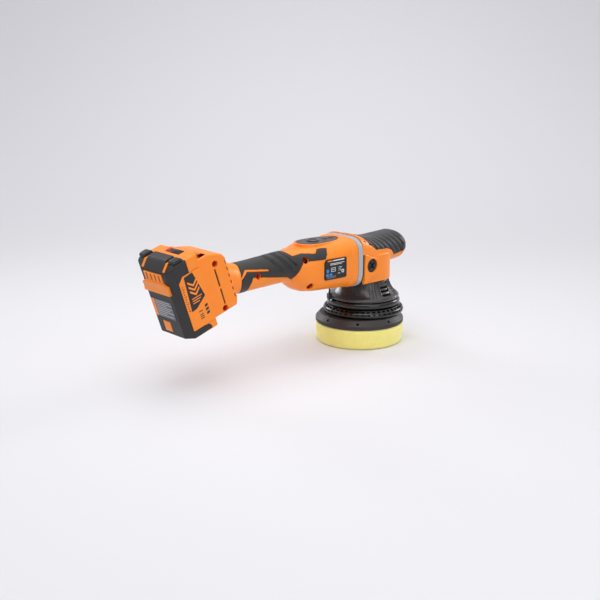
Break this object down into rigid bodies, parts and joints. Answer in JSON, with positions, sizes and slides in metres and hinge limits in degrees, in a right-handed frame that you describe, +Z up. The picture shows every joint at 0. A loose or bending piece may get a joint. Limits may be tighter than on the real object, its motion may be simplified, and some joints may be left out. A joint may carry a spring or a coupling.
{
  "type": "dual action polisher",
  "caption": "Cordless dual action polisher: straight motor barrel with rear slide-on battery, palm grip over the head, eccentric foam pad on a round backing plate.",
  "frame": {"origin": "on the drive spindle's axis, in the plane of the foam pad's working face", "axes": "+X forward along the tool to the palm grip, -X to the battery, +Y to the tool's left, +Z up along the spindle, away from the work"},
  "size_m": [0.4323, 0.125, 0.1743],
  "materials": {
    "orange_plastic": "moulded, fine satin texture",
    "black_plastic": "moulded, satin",
    "soft_grip": "soft overmould, matt",
    "gloss_black": "polished black",
    "cast_black": "glass-filled moulding, satin",
    "pad_plate_plastic": "glass-filled moulding, grey black",
    "button_plastic": "smooth buttons",
    "red_plastic": "smooth red",
    "lamp_lens": "smoked window",
    "label_film": "printed film",
    "grey_trim": "painted grey",
    "board": "circuit board",
    "cells": "sleeved round cells",
    "foam": "open-cell polishing foam",
    "bright_steel": "machined steel"
  },
  "bodies": {
    "housing": {"housing_right": "orange_plastic", "housing_left": "orange_plastic", "handle_grip_right": "soft_grip", "handle_grip_left": "soft_grip", "rating_plate": "label_film", "housing_screw_1": "bright_steel", "housing_screw_2": "bright_steel", "housing_screw_3": "bright_steel", "housing_screw_4": "bright_steel", "housing_screw_5": "bright_steel", "head_cover": "orange_plastic", "palm_grip": "soft_grip", "trim_ring": "grey_trim", "side_screw_right": "black_plastic", "side_screw_left": "black_plastic", "gear_housing": "cast_black", "shroud_lobe": "gloss_black", "vent_ring": "gloss_black", "stay_clip": "black_plastic", "stay_rod": "bright_steel", "control_panel": "black_plastic", "lamp_lens": "lamp_lens", "control_board": "board", "motor_stator": "bright_steel", "motor_bearing_rear": "bright_steel", "motor_bearing_front": "bright_steel", "bearing_seat": "bright_steel", "rear_bearing_boot": "soft_grip", "spindle_bearing_lower": "bright_steel", "spindle_bearing_upper": "bright_steel", "terminal_block": "black_plastic"},
    "motor": {"motor_rotor": "bright_steel", "motor_fan": "pad_plate_plastic", "motor_shaft": "bright_steel", "drive_pinion": "bright_steel"},
    "drive": {"drive_spindle": "bright_steel", "counterweight": "bright_steel", "crown_gear": "bright_steel", "pad_bearing": "bright_steel"},
    "pad": {"pad_spindle": "bright_steel", "backing_plate": "pad_plate_plastic", "pad_screw": "bright_steel", "foam_pad": "foam"},
    "power_key": {"power_button": "button_plastic"},
    "speed_down_key": {"speed_down_button": "button_plastic"},
    "speed_up_key": {"speed_up_button": "button_plastic"},
    "battery": {"battery_case": "black_plastic", "battery_shell": "orange_plastic", "battery_panel_right": "orange_plastic", "battery_panel_left": "orange_plastic", "battery_bumper_right": "black_plastic", "battery_bumper_left": "black_plastic", "battery_rear_label": "label_film", "gauge_lens": "gloss_black", "cell_block": "cells"},
    "latch": {"latch_button": "orange_plastic"},
    "gauge_key": {"gauge_button": "red_plastic"}
  },
  "joints": [
    {"name": "spindle_spin", "type": "hinge", "parent": "housing", "child": "drive", "pos_m": [0, 0, 0.06], "axis": [0, 0, 1], "continuous": true},
    {"name": "motor_spin", "type": "hinge", "parent": "housing", "child": "motor", "pos_m": [-0.09, 0, 0.1225], "axis": [1, 0, 0], "continuous": true},
    {"name": "pad_spin", "type": "hinge", "parent": "drive", "child": "pad", "pos_m": [-0.0075, 0, 0.04], "axis": [0, 0, 1], "continuous": true},
    {"name": "power_press", "type": "slide", "parent": "housing", "child": "power_key", "axis": [0, 0, -1], "range_m": [0, 0.0008], "stiffness_N_per_m": 500, "springref_m": -0.001},
    {"name": "speed_down_press", "type": "slide", "parent": "housing", "child": "speed_down_key", "axis": [0, 0, -1], "range_m": [0, 0.0008], "stiffness_N_per_m": 300, "springref_m": -0.001},
    {"name": "speed_up_press", "type": "slide", "parent": "housing", "child": "speed_up_key", "axis": [0, 0, -1], "range_m": [0, 0.0008], "stiffness_N_per_m": 300, "springref_m": -0.001},
    {"name": "battery_slide", "type": "slide", "parent": "housing", "child": "battery", "axis": [-0.3156, 0, 0.9489], "range_m": [0, 0.09]},
    {"name": "latch_press", "type": "slide", "parent": "battery", "child": "latch", "axis": [0.9489, 0, 0.3156], "range_m": [0, 0.0025], "stiffness_N_per_m": 1200, "springref_m": -0.002},
    {"name": "gauge_press", "type": "slide", "parent": "battery", "child": "gauge_key", "axis": [0.3156, 0, -0.9489], "range_m": [0, 0.0005], "stiffness_N_per_m": 300, "springref_m": -0.001}
  ],
  "couplings": [
    {"joint": "motor_spin", "follows": "spindle_spin", "ratio": -3}
  ]
}
